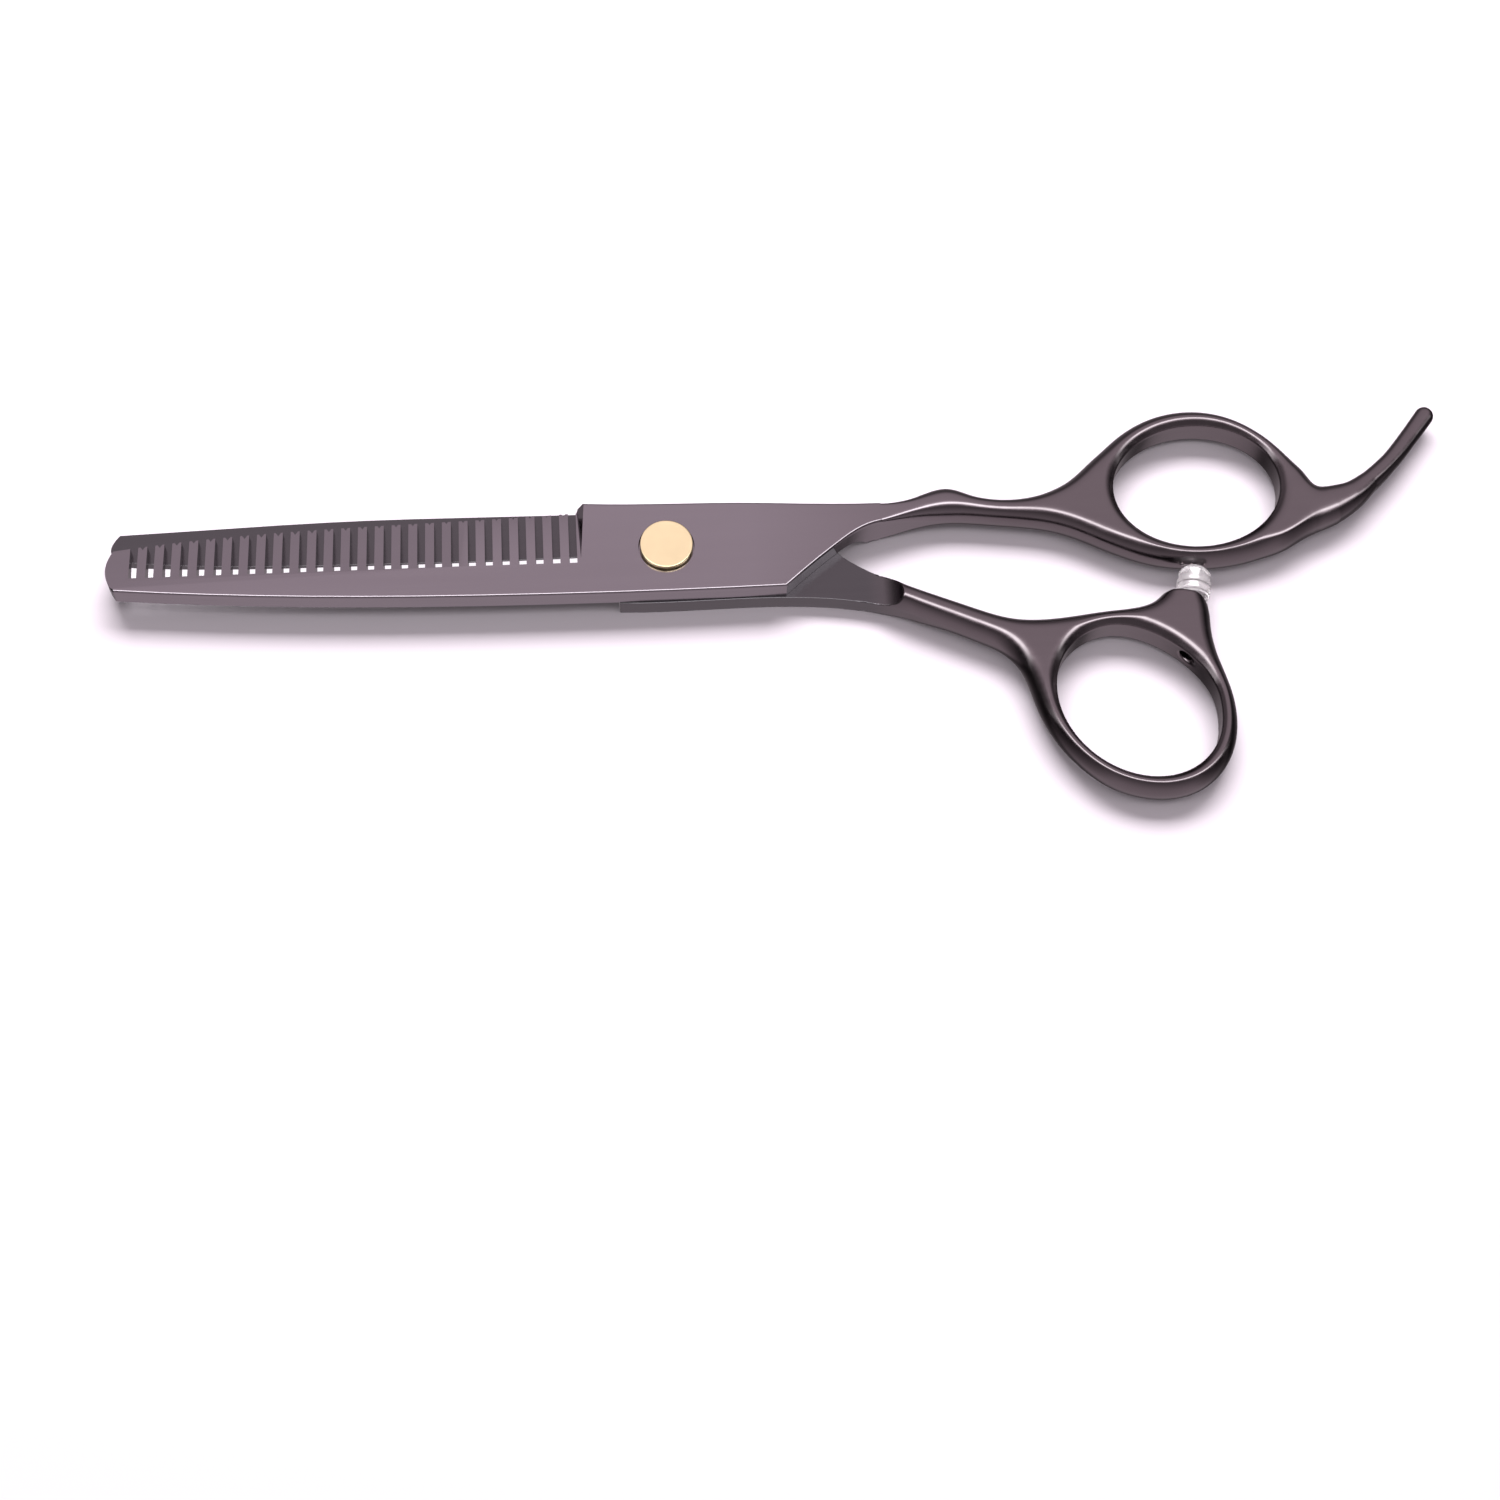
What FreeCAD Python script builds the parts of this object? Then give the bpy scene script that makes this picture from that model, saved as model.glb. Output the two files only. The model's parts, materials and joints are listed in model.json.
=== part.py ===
"""Thinning shears: a comb half with a finger ring and a tang, a plain half with
a thumb ring, a flush tension pivot and a silicone bumper.

Each half is drawn in the pivot frame: the pivot axis is Z through (0, 0), the
blades run towards -X, the rings towards +X, and Z = 0 is the surface that the
closed shears lie on. The last step moves every piece so that the origin is under
the middle of the bounding box. All lengths are millimetres.
"""
import FreeCAD, Part
import math
import os

from FreeCAD import Vector

# ---- driving dimensions -----------------------------------------------------
THICK = 5.4                  # full thickness of shanks and rings
PLATE = 2.65                 # thickness of one blade plate
COMB_Z = THICK - 2.70        # underside of the comb plate: 0.05 above the plain plate
FRAME_CENTRE = Vector(15.529, -9.905, 0.0)   # middle of the bounding box in the pivot frame

# handle sections
EDGE_R = 1.0                 # rounding of the outer handle edges
RING_BEVEL = 1.0             # width of the finger bevel round each ring hole
RING_BEVEL_DEPTH = 0.9       # depth of that bevel
STEP_X = 22.3                # where the underside of the comb half starts to curve down
COMB_SPLIT_X = 28.0          # weld line of the comb half
PLAIN_SPLIT_X = 30.5         # weld line of the plain half

# ring holes: centre x, centre y, long semi-axis, short semi-axis, turn in degrees
FINGER_HOLE = (69.62, 5.9, 10.98, 8.9, 4.0)
THUMB_HOLE = (58.6, -24.35, 11.3, 9.6, -51.0)

# comb teeth
GAPS = 27
GAP_WIDTH = 1.0
FIRST_GAP_X = -68.2
GAP_PITCH = 2.162
GAP_FLOOR_TIP = -0.85        # y of the gap floors at the tip
GAP_FLOOR_HEEL = -1.75       # y of the gap floors at the heel
NOTCH_WIDTH = 0.5            # vee in the end of each tooth
NOTCH_DEPTH = 0.4
TOOTH_CUT_Y = 10.0           # the slots are cut out to this y
GRIND_SLOPE = 0.24           # fall of the ground tooth face per mm of y
GRIND_START_TIP = (-72.0, -2.6)
GRIND_START_HEEL = (-11.0, -1.2)
HEEL_WALL_SHIFT = 0.4        # how far the heel wall runs towards the tip at the far edge
HEEL_WALL_LEAN = 1.7         # how far its top leans back there

# plain blade underside grind
EDGE_LAND = 0.35             # thickness left at the cutting edge
GRIND_BACK_Y = 4.6           # where the underside grind starts
GRIND_EDGE_Y = 0.5           # where it has thinned the plate down to the land
GRIND_END_GAP = 1.2          # the grind stops this far from the heel corner
RAMP_X = 26.0                # the ride flat ends here and curves up
RAMP_R = 4.4                 # radius of both ramps
RAMP_SPAN = 20.0             # half width of the blocks that the ramps are cut from

# pivot stack
CAP_R = 3.4
CAP_TOP = 6.2
CAP_SEAT = 4.6
CAP_SEAT_R = 3.6
CAP_EDGE_R = 0.15
KEY_R = 2.3
KEY_FLAT = 1.9
BARREL_R = 2.0
BARREL_END = 1.55
SHANK_TOP = COMB_Z + 0.1     # the key starts and the barrel ends here
THREAD_R = 1.25
THREAD_TOP = 4.8
FIT = 0.05                   # radial running clearance
BUSH_R = 2.5
RIDE_R = 4.5
RIDE_DEPTH = 0.3
RIDE_BORE_R = 2.35
RIDE_PROUD = 0.04            # how far the washer stands over the plain plate
POCKET_R = 3.25
POCKET_DEPTH = 1.5
SCREW_HEAD_R = 3.0
SCREW_HEAD_BASE = 0.1
SCREW_HEAD_H = 0.7
SCREW_SHANK_R = 1.2
SCREW_TIP = 4.4
SLOT_WIDTH = 0.8
SLOT_DEPTH = 0.45
SPRING_R = 2.9
SPRING_BORE_R = 1.5
SPRING_H = 0.3
HEAD_WASHER_R = 3.1
HEAD_WASHER_BORE_R = 1.45
HEAD_WASHER_H = 0.4

# bumper: its seat on the horn and the way it points
BUMPER_SEAT = Vector(67.35, -9.65, 3.05)
BUMPER_TILT = 12.0           # degrees from +Y towards +X
BUMPER_R = 2.05
BUMPER_LEN = 4.5
BUMPER_DOME = 1.2
STEM_R = 0.9
STEM_LEN = 3.2
STEM_HOLE_START = 0.5        # the hole is cut from this far outside the seat
STEM_HOLE_LEN = 12.0         # and reaches into the thumb ring
SEAT_CUT_R = 6.0
SEAT_CUT_LEN = 4.0
RIB_R = 2.2
RIB_W = 0.6
RIB_STARTS = (0.35, 1.5)

# ---- outlines: only the points that the shape needs, in the pivot frame ---------
COMB_SPINE = [(-70.5, -2.9), (-60.0, -3.95), (-40.0, -5.35), (-20.0, -6.1), (0.0, -6.45), (15.1, -6.45)]
COMB_TIP = [(-70.5, -2.9), (-71.7, 0.1), (-70.9, 3.7)]
TOOTH_TIPS = [(-70.9, 3.7), (-60.0, 4.9), (-40.0, 5.8), (-11.4, 6.4)]
COMB_TOP = [(-11.2, 6.95), (-8.0, 6.7), (0.0, 6.35), (10.0, 6.0), (20.0, 5.35), (28.0, 5.05)]
COMB_DIAGONAL = [(15.1, -6.45), (19.0, -3.1), (22.0, -0.75), (25.0, 1.3), (28.0, 2.3)]

FINGER_OUTLINE = [
    (28.0, 5.05), (31.0, 5.6), (34.0, 6.8), (36.7, 7.65), (40.0, 6.5), (44.0, 5.65), (48.0, 5.85),
    (52.0, 7.3), (56.0, 10.5), (60.0, 14.05), (64.0, 16.4), (69.5, 17.5), (75.0, 16.4), (79.5, 13.4),
    (82.8, 9.6), (84.6, 7.3), (87.0, 5.6), (88.6, 3.6), (87.0, 1.4), (84.3, -0.7),
    (80.3, -2.9), (76.2, -4.4), (70.5, -5.1), (65.0, -4.8), (60.0, -3.35), (55.7, -1.2), (51.8, 0.75),
    (47.9, 1.85), (44.0, 2.4), (40.0, 2.95), (36.0, 3.15), (32.0, 2.9), (28.0, 2.3),
]
# tang stations: x, y, direction in degrees, half width, half height
TANG = [
    (84.0, 2.15, 12.0, 2.6, 2.4), (87.2, 3.05, 20.0, 2.15, 2.5), (90.0, 4.2, 31.0, 1.65, 2.35),
    (92.75, 6.15, 41.0, 1.35, 2.0), (95.9, 9.0, 48.0, 1.2, 1.65), (99.2, 12.8, 51.0, 1.2, 1.35),
    (101.525, 15.65, 51.0, 1.26, 1.26),
]

PLAIN_EDGE = [(-68.5, 2.55), (-60.0, 1.65), (-40.0, 0.85), (-20.0, 0.45), (-7.0, 0.5)]
PLAIN_TIP = [(-68.5, 2.55), (-71.4, 4.3), (-70.3, 6.65)]
PLAIN_SPINE = [(-70.3, 6.65), (-60.0, 6.9), (-40.0, 7.25), (-20.0, 6.9), (0.0, 6.3), (10.0, 5.6)]
PLAIN_SHOULDER = [(10.0, 5.6), (16.0, 4.4), (20.0, 1.6), (22.7, -1.2), (26.0, -3.5), (30.5, -6.15)]
PLAIN_HEEL = (-6.3, -6.5)
PLAIN_NEAR = [(-6.3, -6.5), (8.0, -6.65), (18.0, -6.95), (24.0, -7.75), (30.5, -9.8)]

THUMB_OUTLINE = [
    (30.5, -6.15), (33.0, -7.3), (36.0, -8.6), (40.0, -10.35), (43.5, -11.6), (47.0, -12.0), (51.0, -11.8),
    (56.0, -11.25), (60.0, -10.9), (62.5, -10.0), (64.4, -8.3), (67.3, -8.1), (68.95, -10.2),
    (69.15, -14.5), (69.65, -18.8), (70.65, -23.0), (70.9, -27.0), (70.1, -30.9), (68.2, -34.1),
    (65.3, -36.35), (61.4, -37.3), (57.5, -36.85), (53.8, -35.3), (50.6, -32.6), (48.0, -29.2), (46.2, -25.4),
    (45.2, -21.8), (44.2, -18.6), (42.2, -16.0), (39.2, -14.2), (35.0, -12.1), (30.5, -9.8),
]


# ---- helpers ------------------------------------------------------------------
def at_z(points, z):
    return [Vector(x, y, z) for x, y in points]


def spline(points, z=0.0):
    """One smooth edge through the points."""
    curve = Part.BSplineCurve()
    curve.interpolate(at_z(points, z))
    return curve.toShape()


def line(start, end, z=0.0):
    return Part.LineSegment(Vector(start[0], start[1], z), Vector(end[0], end[1], z)).toShape()


def prism(edges, z_low, z_high):
    """Solid between two heights over a closed chain of edges drawn at z = 0."""
    wire = Part.Wire(Part.__sortEdges__(edges))
    face = Part.Face(wire)
    face.translate(Vector(0, 0, z_low))
    return face.extrude(Vector(0, 0, z_high - z_low))


def disc(radius, z_low, z_high, centre=(0.0, 0.0)):
    base = Vector(centre[0], centre[1], z_low)
    return Part.makeCylinder(radius, z_high - z_low, base)


def ring(r_out, r_in, z_low, z_high):
    return disc(r_out, z_low, z_high).cut(disc(r_in, z_low, z_high))


def slab(x_low, x_high, y_low, y_high, z_low, z_high):
    size = (x_high - x_low, y_high - y_low, z_high - z_low)
    return Part.makeBox(*size, Vector(x_low, y_low, z_low))


def interpolate(x, start, end):
    """y at x on the straight line from start to end."""
    share = (x - start[0]) / (end[0] - start[0])
    return start[1] + share * (end[1] - start[1])


def polyhedron(loops):
    """Solid from flat or nearly flat loops, each cut into triangles from its first corner."""
    faces = []
    for loop in loops:
        for second, third in zip(loop[1:], loop[2:]):
            triangle = Part.makePolygon([loop[0], second, third, loop[0]])
            faces.append(Part.Face(triangle))
    return Part.Solid(Part.makeShell(faces))


def hole_wire(hole, grow, z):
    """Ellipse of a ring hole, larger by grow, at height z."""
    x, y, long_axis, short_axis, turn = hole
    ellipse = Part.Ellipse(Vector(0, 0, 0), long_axis + grow, short_axis + grow)
    edge = ellipse.toShape()
    edge.rotate(Vector(0, 0, 0), Vector(0, 0, 1), turn)
    edge.translate(Vector(x, y, z))
    return Part.Wire([edge])


def ring_hole_cutter(hole):
    """Straight wall with a finger bevel at the top and at the bottom."""
    past = 1.0
    slope = RING_BEVEL / RING_BEVEL_DEPTH
    wide = RING_BEVEL + slope * past
    wall = Part.makeLoft([hole_wire(hole, 0, -past), hole_wire(hole, 0, THICK + past)], True, True)
    top = Part.makeLoft(
        [hole_wire(hole, 0, THICK - RING_BEVEL_DEPTH), hole_wire(hole, wide, THICK + past)], True, True)
    bottom = Part.makeLoft(
        [hole_wire(hole, wide, -past), hole_wire(hole, 0, RING_BEVEL_DEPTH)], True, True)
    return wall.fuse([top, bottom])


def ramp(start_x, end_x, start_z, end_z):
    """Block over a ramp that leaves a flat face at start_x in a curve and reaches end_z."""
    rise = abs(end_z - start_z)
    up = math.copysign(1.0, end_z - start_z)
    turn = math.acos((RAMP_R - rise) / RAMP_R)

    def on_curve(angle):
        x = start_x + RAMP_R * math.sin(angle)
        z = start_z + up * RAMP_R * (1 - math.cos(angle))
        return Vector(x, 0, z)

    start = on_curve(0.0)
    top = on_curve(turn)
    back_z = THICK - end_z
    corners = [top, Vector(end_x, 0, end_z), Vector(end_x, 0, back_z), Vector(start_x, 0, back_z), start]
    edges = [Part.Arc(start, on_curve(turn / 2), top).toShape()]
    for first, second in zip(corners, corners[1:]):
        edges.append(Part.makeLine(first, second))
    face = Part.Face(Part.Wire(edges))
    face.translate(Vector(0, -RAMP_SPAN, 0))
    return face.extrude(Vector(0, 2 * RAMP_SPAN, 0))


def flat_edges(solid, split_x):
    """Top and bottom outline edges, without those on the weld plane."""
    found = []
    for edge in solid.Edges:
        box = edge.BoundBox
        level = box.ZLength < 1e-4
        on_weld = box.XMax - split_x < 1e-4
        if level and not on_weld:
            found.append(edge)
    return found


# ---- comb half ----------------------------------------------------------------
def grind_z(x, y):
    """Height of the ground tooth face over the point (x, y)."""
    start_y = interpolate(x, GRIND_START_TIP, GRIND_START_HEEL)
    return THICK - GRIND_SLOPE * (y - start_y)


def grind_cutter():
    """Wedge that thins the comb towards the tooth ends and leaves a sloped heel wall."""
    far_x = -75.0
    far_y = 9.0
    over = 1.0
    tip_y = interpolate(far_x, GRIND_START_TIP, GRIND_START_HEEL)
    heel_x, heel_y = GRIND_START_HEEL
    wall_x = heel_x - HEEL_WALL_SHIFT
    a_low = Vector(far_x, tip_y, THICK)
    a_far = Vector(far_x, far_y, grind_z(far_x, far_y))
    b_low = Vector(heel_x, heel_y, THICK)
    b_far = Vector(wall_x, far_y, grind_z(wall_x, far_y))
    a_top = Vector(far_x, far_y, THICK + over)
    b_top = Vector(wall_x + HEEL_WALL_LEAN, far_y, THICK + over)
    return polyhedron([
        [a_low, b_low, b_far, a_far],
        [a_low, a_top, b_top, b_low],
        [a_far, b_far, b_top, a_top],
        [a_low, a_far, a_top],
        [b_low, b_top, b_far],
    ])


def gap_cutters():
    """One slot between each pair of teeth, and a vee in the end of each tooth."""
    cutters = []
    for index in range(GAPS):
        x = FIRST_GAP_X + GAP_PITCH * index
        floor_y = GAP_FLOOR_TIP + (GAP_FLOOR_HEEL - GAP_FLOOR_TIP) * index / (GAPS - 1)
        cutters.append(slab(x - GAP_WIDTH / 2, x + GAP_WIDTH / 2, floor_y, TOOTH_CUT_Y, COMB_Z - 1, THICK + 1))
        if index < GAPS - 1:
            cutters.append(notch_cutter(x + GAP_PITCH / 2))
    return cutters


def tooth_end_y(x):
    """y of the tooth ends at x, by straight steps along the outline."""
    for start, end in zip(TOOTH_TIPS, TOOTH_TIPS[1:]):
        if start[0] <= x <= end[0]:
            return interpolate(x, start, end)
    return TOOTH_TIPS[-1][1]


def notch_cutter(x):
    y = tooth_end_y(x)
    left = Vector(x - NOTCH_WIDTH, y + NOTCH_DEPTH, COMB_Z - 1)
    right = Vector(x + NOTCH_WIDTH, y + NOTCH_DEPTH, COMB_Z - 1)
    root = Vector(x, y - NOTCH_DEPTH, COMB_Z - 1)
    face = Part.Face(Part.makePolygon([left, right, root, left]))
    return face.extrude(Vector(0, 0, THICK))


def keyed_hole(radius, flat, z_low, z_high):
    round_part = disc(radius, z_low, z_high)
    return round_part.common(slab(-radius, radius, -flat, flat, z_low, z_high))


def comb_blade():
    edges = [
        spline(COMB_SPINE), spline(COMB_TIP), spline(TOOTH_TIPS), line(TOOTH_TIPS[-1], COMB_TOP[0]),
        spline(COMB_TOP), line(COMB_TOP[-1], COMB_DIAGONAL[-1]), spline(COMB_DIAGONAL),
    ]
    blade = prism(edges, COMB_Z, THICK)
    neck = prism(edges, 0.0, COMB_Z).common(ramp(STEP_X, COMB_SPLIT_X, COMB_Z, 0.0))
    blade = blade.fuse(neck).removeSplitter()
    blade = blade.cut(grind_cutter())
    blade = blade.cut(gap_cutters())
    blade = blade.cut(keyed_hole(KEY_R + FIT, KEY_FLAT + FIT, COMB_Z - 1, THICK))
    blade = blade.cut(disc(CAP_SEAT_R, CAP_SEAT, THICK + 1))
    return blade


def tang_section(x, y, turn, half_width, half_height):
    """Upright ellipse across the tang."""
    wide = half_width >= half_height
    long_axis = max(half_width, half_height)
    short_axis = min(half_width, half_height)
    edge = Part.Ellipse(Vector(0, 0, 0), long_axis, short_axis).toShape()
    if not wide:
        edge.rotate(Vector(0, 0, 0), Vector(0, 0, 1), 90)
    edge.rotate(Vector(0, 0, 0), Vector(1, 0, 0), 90)
    edge.rotate(Vector(0, 0, 0), Vector(0, 0, 1), turn - 90)
    edge.translate(Vector(x, y, THICK / 2))
    return Part.Wire([edge])


def tang():
    """Curved finger rest that tapers to a round end."""
    rod = Part.makeLoft([tang_section(*station) for station in TANG], True, False)
    x, y, turn, radius, _ = TANG[-1]
    end = Part.makeSphere(radius, Vector(x, y, THICK / 2))
    return rod.fuse(end)


def finger_handle():
    edges = [spline(FINGER_OUTLINE), line(FINGER_OUTLINE[-1], FINGER_OUTLINE[0])]
    body = prism(edges, 0.0, THICK)
    rounded = body.makeFillet(EDGE_R, flat_edges(body, COMB_SPLIT_X))
    return rounded.fuse(tang()).cut(ring_hole_cutter(FINGER_HOLE))


# ---- plain half ---------------------------------------------------------------
def underside_grind():
    """Wedge that thins the plain blade from below towards its cutting edge."""
    heel_x = PLAIN_HEEL[0] - GRIND_END_GAP
    far_x = -75.0
    edge_y = -1.0
    rise = (PLATE - EDGE_LAND) / (GRIND_BACK_Y - GRIND_EDGE_Y)
    top_z = rise * (GRIND_BACK_Y - edge_y)
    left = [Vector(far_x, GRIND_BACK_Y, 0), Vector(far_x, edge_y, top_z), Vector(far_x, edge_y, -1),
            Vector(far_x, GRIND_BACK_Y, -1)]
    face = Part.Face(Part.makePolygon(left + [left[0]]))
    return face.extrude(Vector(heel_x - far_x, 0, 0))


def plain_blade():
    edges = [
        spline(PLAIN_EDGE), spline(PLAIN_TIP), spline(PLAIN_SPINE), spline(PLAIN_SHOULDER),
        line(PLAIN_SHOULDER[-1], PLAIN_NEAR[-1]), spline(PLAIN_NEAR),
        line(PLAIN_HEEL, PLAIN_EDGE[-1]),
    ]
    plate = prism(edges, 0.0, PLATE)
    neck = prism(edges, 0.0, THICK).common(ramp(RAMP_X, PLAIN_SPLIT_X, PLATE, THICK))
    blade = plate.fuse(neck).removeSplitter()
    blade = blade.cut(underside_grind())
    blade = blade.cut(disc(RIDE_R + FIT, PLATE - RIDE_DEPTH, PLATE + 1))
    blade = blade.cut(disc(BUSH_R, -1, PLATE + 1))
    return blade.cut(disc(POCKET_R, -1, POCKET_DEPTH))


def bumper_axis():
    tilt = math.radians(BUMPER_TILT)
    return Vector(math.sin(tilt), math.cos(tilt), 0)


def thumb_handle():
    edges = [spline(THUMB_OUTLINE), line(THUMB_OUTLINE[-1], THUMB_OUTLINE[0])]
    body = prism(edges, 0.0, THICK)
    rounded = body.makeFillet(EDGE_R, flat_edges(body, PLAIN_SPLIT_X))
    handle = rounded.cut(ring_hole_cutter(THUMB_HOLE))
    seat_cut = Part.makeCylinder(SEAT_CUT_R, SEAT_CUT_LEN, BUMPER_SEAT, bumper_axis())
    handle = handle.cut(seat_cut)
    hole_start = BUMPER_SEAT + bumper_axis() * STEM_HOLE_START
    stem_hole = Part.makeCylinder(STEM_R, STEM_HOLE_LEN, hole_start, bumper_axis() * -1)
    return handle.cut(stem_hole)


def bumper():
    """Clear stop: domed barrel with two ribs and a stem pushed into the horn."""
    straight = BUMPER_LEN - BUMPER_DOME
    dome_r = (BUMPER_R ** 2 + BUMPER_DOME ** 2) / (2 * BUMPER_DOME)
    along = Vector(0, 1, 0)
    barrel = Part.makeCylinder(BUMPER_R, straight, Vector(0, 0, 0), along)
    ball = Part.makeSphere(dome_r, Vector(0, BUMPER_LEN - dome_r, 0))
    dome = Part.makeCylinder(BUMPER_R + 0.5, BUMPER_DOME, Vector(0, straight, 0), along).common(ball)
    stem = Part.makeCylinder(STEM_R, STEM_LEN, Vector(0, -STEM_LEN, 0), along)
    body = barrel.fuse([dome, stem])
    for start in RIB_STARTS:
        rib = Part.makeCylinder(RIB_R, RIB_W, Vector(0, start, 0), along)
        body = body.fuse(rib)
    body = body.removeSplitter()
    body.rotate(Vector(0, 0, 0), Vector(0, 0, 1), -BUMPER_TILT)
    body.translate(BUMPER_SEAT)
    return body


# ---- pivot stack --------------------------------------------------------------
def pivot_cap():
    """Flat round head on a keyed shank, with a threaded barrel below."""
    head = disc(CAP_R, CAP_SEAT, CAP_TOP)
    rim = [edge for edge in head.Edges if abs(edge.BoundBox.ZMin - CAP_TOP) < 1e-4]
    head = head.makeFillet(CAP_EDGE_R, rim)
    key = keyed_hole(KEY_R, KEY_FLAT, SHANK_TOP, CAP_SEAT)
    barrel = disc(BARREL_R, BARREL_END, SHANK_TOP)
    cap = head.fuse([key, barrel]).removeSplitter()
    return cap.cut(disc(THREAD_R, BARREL_END - 1, THREAD_TOP))


def tension_screw():
    """Slotted screw, driven from below, that sets the pivot tension."""
    head_top = SCREW_HEAD_BASE + SCREW_HEAD_H
    head = disc(SCREW_HEAD_R, SCREW_HEAD_BASE, head_top)
    shank = disc(SCREW_SHANK_R, head_top, SCREW_TIP)
    half = SLOT_WIDTH / 2
    slot = slab(-SCREW_HEAD_R, SCREW_HEAD_R, -half, half, 0, SCREW_HEAD_BASE + SLOT_DEPTH)
    return head.fuse(shank).removeSplitter().cut(slot)


def spring_washer():
    base = SCREW_HEAD_BASE + SCREW_HEAD_H
    return ring(SPRING_R, SPRING_BORE_R, base, base + SPRING_H)


def head_washer():
    return ring(HEAD_WASHER_R, HEAD_WASHER_BORE_R, POCKET_DEPTH - HEAD_WASHER_H, POCKET_DEPTH)


def pivot_bushing():
    return ring(BUSH_R, BARREL_R + FIT, POCKET_DEPTH, PLATE - RIDE_DEPTH)


def ride_washer():
    return ring(RIDE_R, RIDE_BORE_R, PLATE - RIDE_DEPTH, PLATE + RIDE_PROUD)


PIECES = {
    "comb_blade": comb_blade,
    "finger_handle": finger_handle,
    "plain_blade": plain_blade,
    "thumb_handle": thumb_handle,
    "bumper": bumper,
    "pivot_cap": pivot_cap,
    "pivot_bushing": pivot_bushing,
    "ride_washer": ride_washer,
    "head_washer": head_washer,
    "spring_washer": spring_washer,
    "tension_screw": tension_screw,
}


def build():
    shapes = {}
    for name, make in PIECES.items():
        shape = make()
        shape.translate(FRAME_CENTRE * -1)
        shapes[name] = shape
    return shapes


def main():
    os.makedirs("parts", exist_ok=True)
    shapes = build()
    for name, shape in shapes.items():
        shape.exportStep("parts/" + name + ".step")
        box = shape.BoundBox
        size = "%.2f x %.2f x %.2f" % (box.XLength, box.YLength, box.ZLength)
        print(name, len(shape.Solids), "solid", shape.isValid(), "%.1f mm3" % shape.Volume, size)
    whole = Part.makeCompound(list(shapes.values())).BoundBox
    print("whole", "%.2f x %.2f x %.2f" % (whole.XLength, whole.YLength, whole.ZLength))


main()
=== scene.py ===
"""Looks of the thinning shears: smooth ground handles, bevelled blades and studio light."""
import bmesh
import bpy
import json
import math
import numpy as np
from mathutils import Matrix, Vector


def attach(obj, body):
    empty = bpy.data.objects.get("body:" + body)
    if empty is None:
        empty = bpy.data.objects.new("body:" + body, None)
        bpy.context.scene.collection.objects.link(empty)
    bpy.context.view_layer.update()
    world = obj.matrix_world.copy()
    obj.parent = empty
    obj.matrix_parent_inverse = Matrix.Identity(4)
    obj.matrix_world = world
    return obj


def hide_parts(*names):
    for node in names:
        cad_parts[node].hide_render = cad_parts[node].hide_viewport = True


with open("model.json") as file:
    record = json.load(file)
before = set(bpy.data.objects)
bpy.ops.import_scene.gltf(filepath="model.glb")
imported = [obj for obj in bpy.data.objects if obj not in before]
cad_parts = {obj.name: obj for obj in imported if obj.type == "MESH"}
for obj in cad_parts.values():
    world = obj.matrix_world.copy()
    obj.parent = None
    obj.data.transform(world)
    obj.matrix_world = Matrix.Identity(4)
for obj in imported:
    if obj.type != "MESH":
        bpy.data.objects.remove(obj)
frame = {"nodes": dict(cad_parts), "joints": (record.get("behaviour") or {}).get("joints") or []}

# ---- driving dimensions, millimetres in the pivot frame ----------------------------
MM = 0.001
HALF = 2.7                    # half thickness of a handle
GRID = 0.22                   # spacing of the grid that the handle surfaces are drawn on
SLICE_Z = 1.3                 # height where the outlines are read from the CAD nodes
ROUND_WIDTH = 2.35            # width of the outer rounding on the rings
ROUND_NECK = 2.0              # the same on the thumb shank beside the ramp
ROUND_EDGE = 0.35             # small rounding of the blade edges and at the weld lines
BEVEL_WIDTH = 1.1             # finger bevel round each ring hole
BEVEL_DEPTH = 0.95
CREST = 0.45                  # blend between bevel and outer rounding
FINGER_WELD_X = 28.0
THUMB_WELD_X = 30.5
THUMB_START_X = 24.5          # the thumb surface starts here, before the ramp
PLATE = 2.65                  # thickness of the plain blade
RAMP_X = 26.0                 # the ride flat ends here and curves up
RAMP_R = 4.4
SEAT = (67.35, -9.65, 3.05)   # bumper seat on the horn
SEAT_TILT = 12.0
STEM_R = 0.9
NUB = (88.2, 3.6, 20.0)       # where the ring body gives way to the tang: x, y, direction
# tang stations: x, y, half width, half height
TANG = [
    (79.0, 1.2, 3.0, 2.6), (84.0, 2.0, 2.8, 2.6), (87.2, 2.95, 2.5, 2.6), (90.0, 4.1, 1.85, 2.4),
    (92.75, 6.15, 1.36, 2.0), (95.9, 9.0, 1.2, 1.65), (99.2, 12.8, 1.2, 1.35), (101.525, 15.65, 1.25, 1.25),
]
TANG_POWER = 2.4              # 2 is an ellipse, more is a flatter top
WEB_BLEND = 2.6               # fillet between the ring body and the tang
NUB_BLEND = 2.0               # rounding of the ring body's own end inside the tang
TOP_BLEND = 0.3               # rounding where the fillet reaches the full thickness
SEAT_BLEND = 0.6
RAMP_BLEND = 0.12
HOLE_BLEND = 0.15
NECK_END_X = 37.0             # both shanks have their full rounding from here on
THUMB_NECK = (30.0, 40.0)     # the top rounding of the thumb shank grows between these x
STEM_REACH = 14.0             # the stem's hole is cut this far back from the seat

# outlines: how they are read and smoothed
MIN_STEP = 0.15               # closer points are dropped
LINE_SPACING = 0.2
LINE_SMOOTH = 2.5             # width of the smoothing, in points
WELD_END = 5.0                # the finger outline runs this far past the weld line
SEAT_END = 4.0                # the thumb outline runs this far past the bumper seat
SIDES = (24.0, -5.0, -0.46)   # line between the two sides of the plain neck: x, y, slope
FINGER_AREA = (26.5, 104.5, -8.0, 20.0)   # grid of the finger handle: x from, x to, y from, y to
THUMB_AREA = (23.0, 73.0, -39.5, 0.5)

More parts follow.
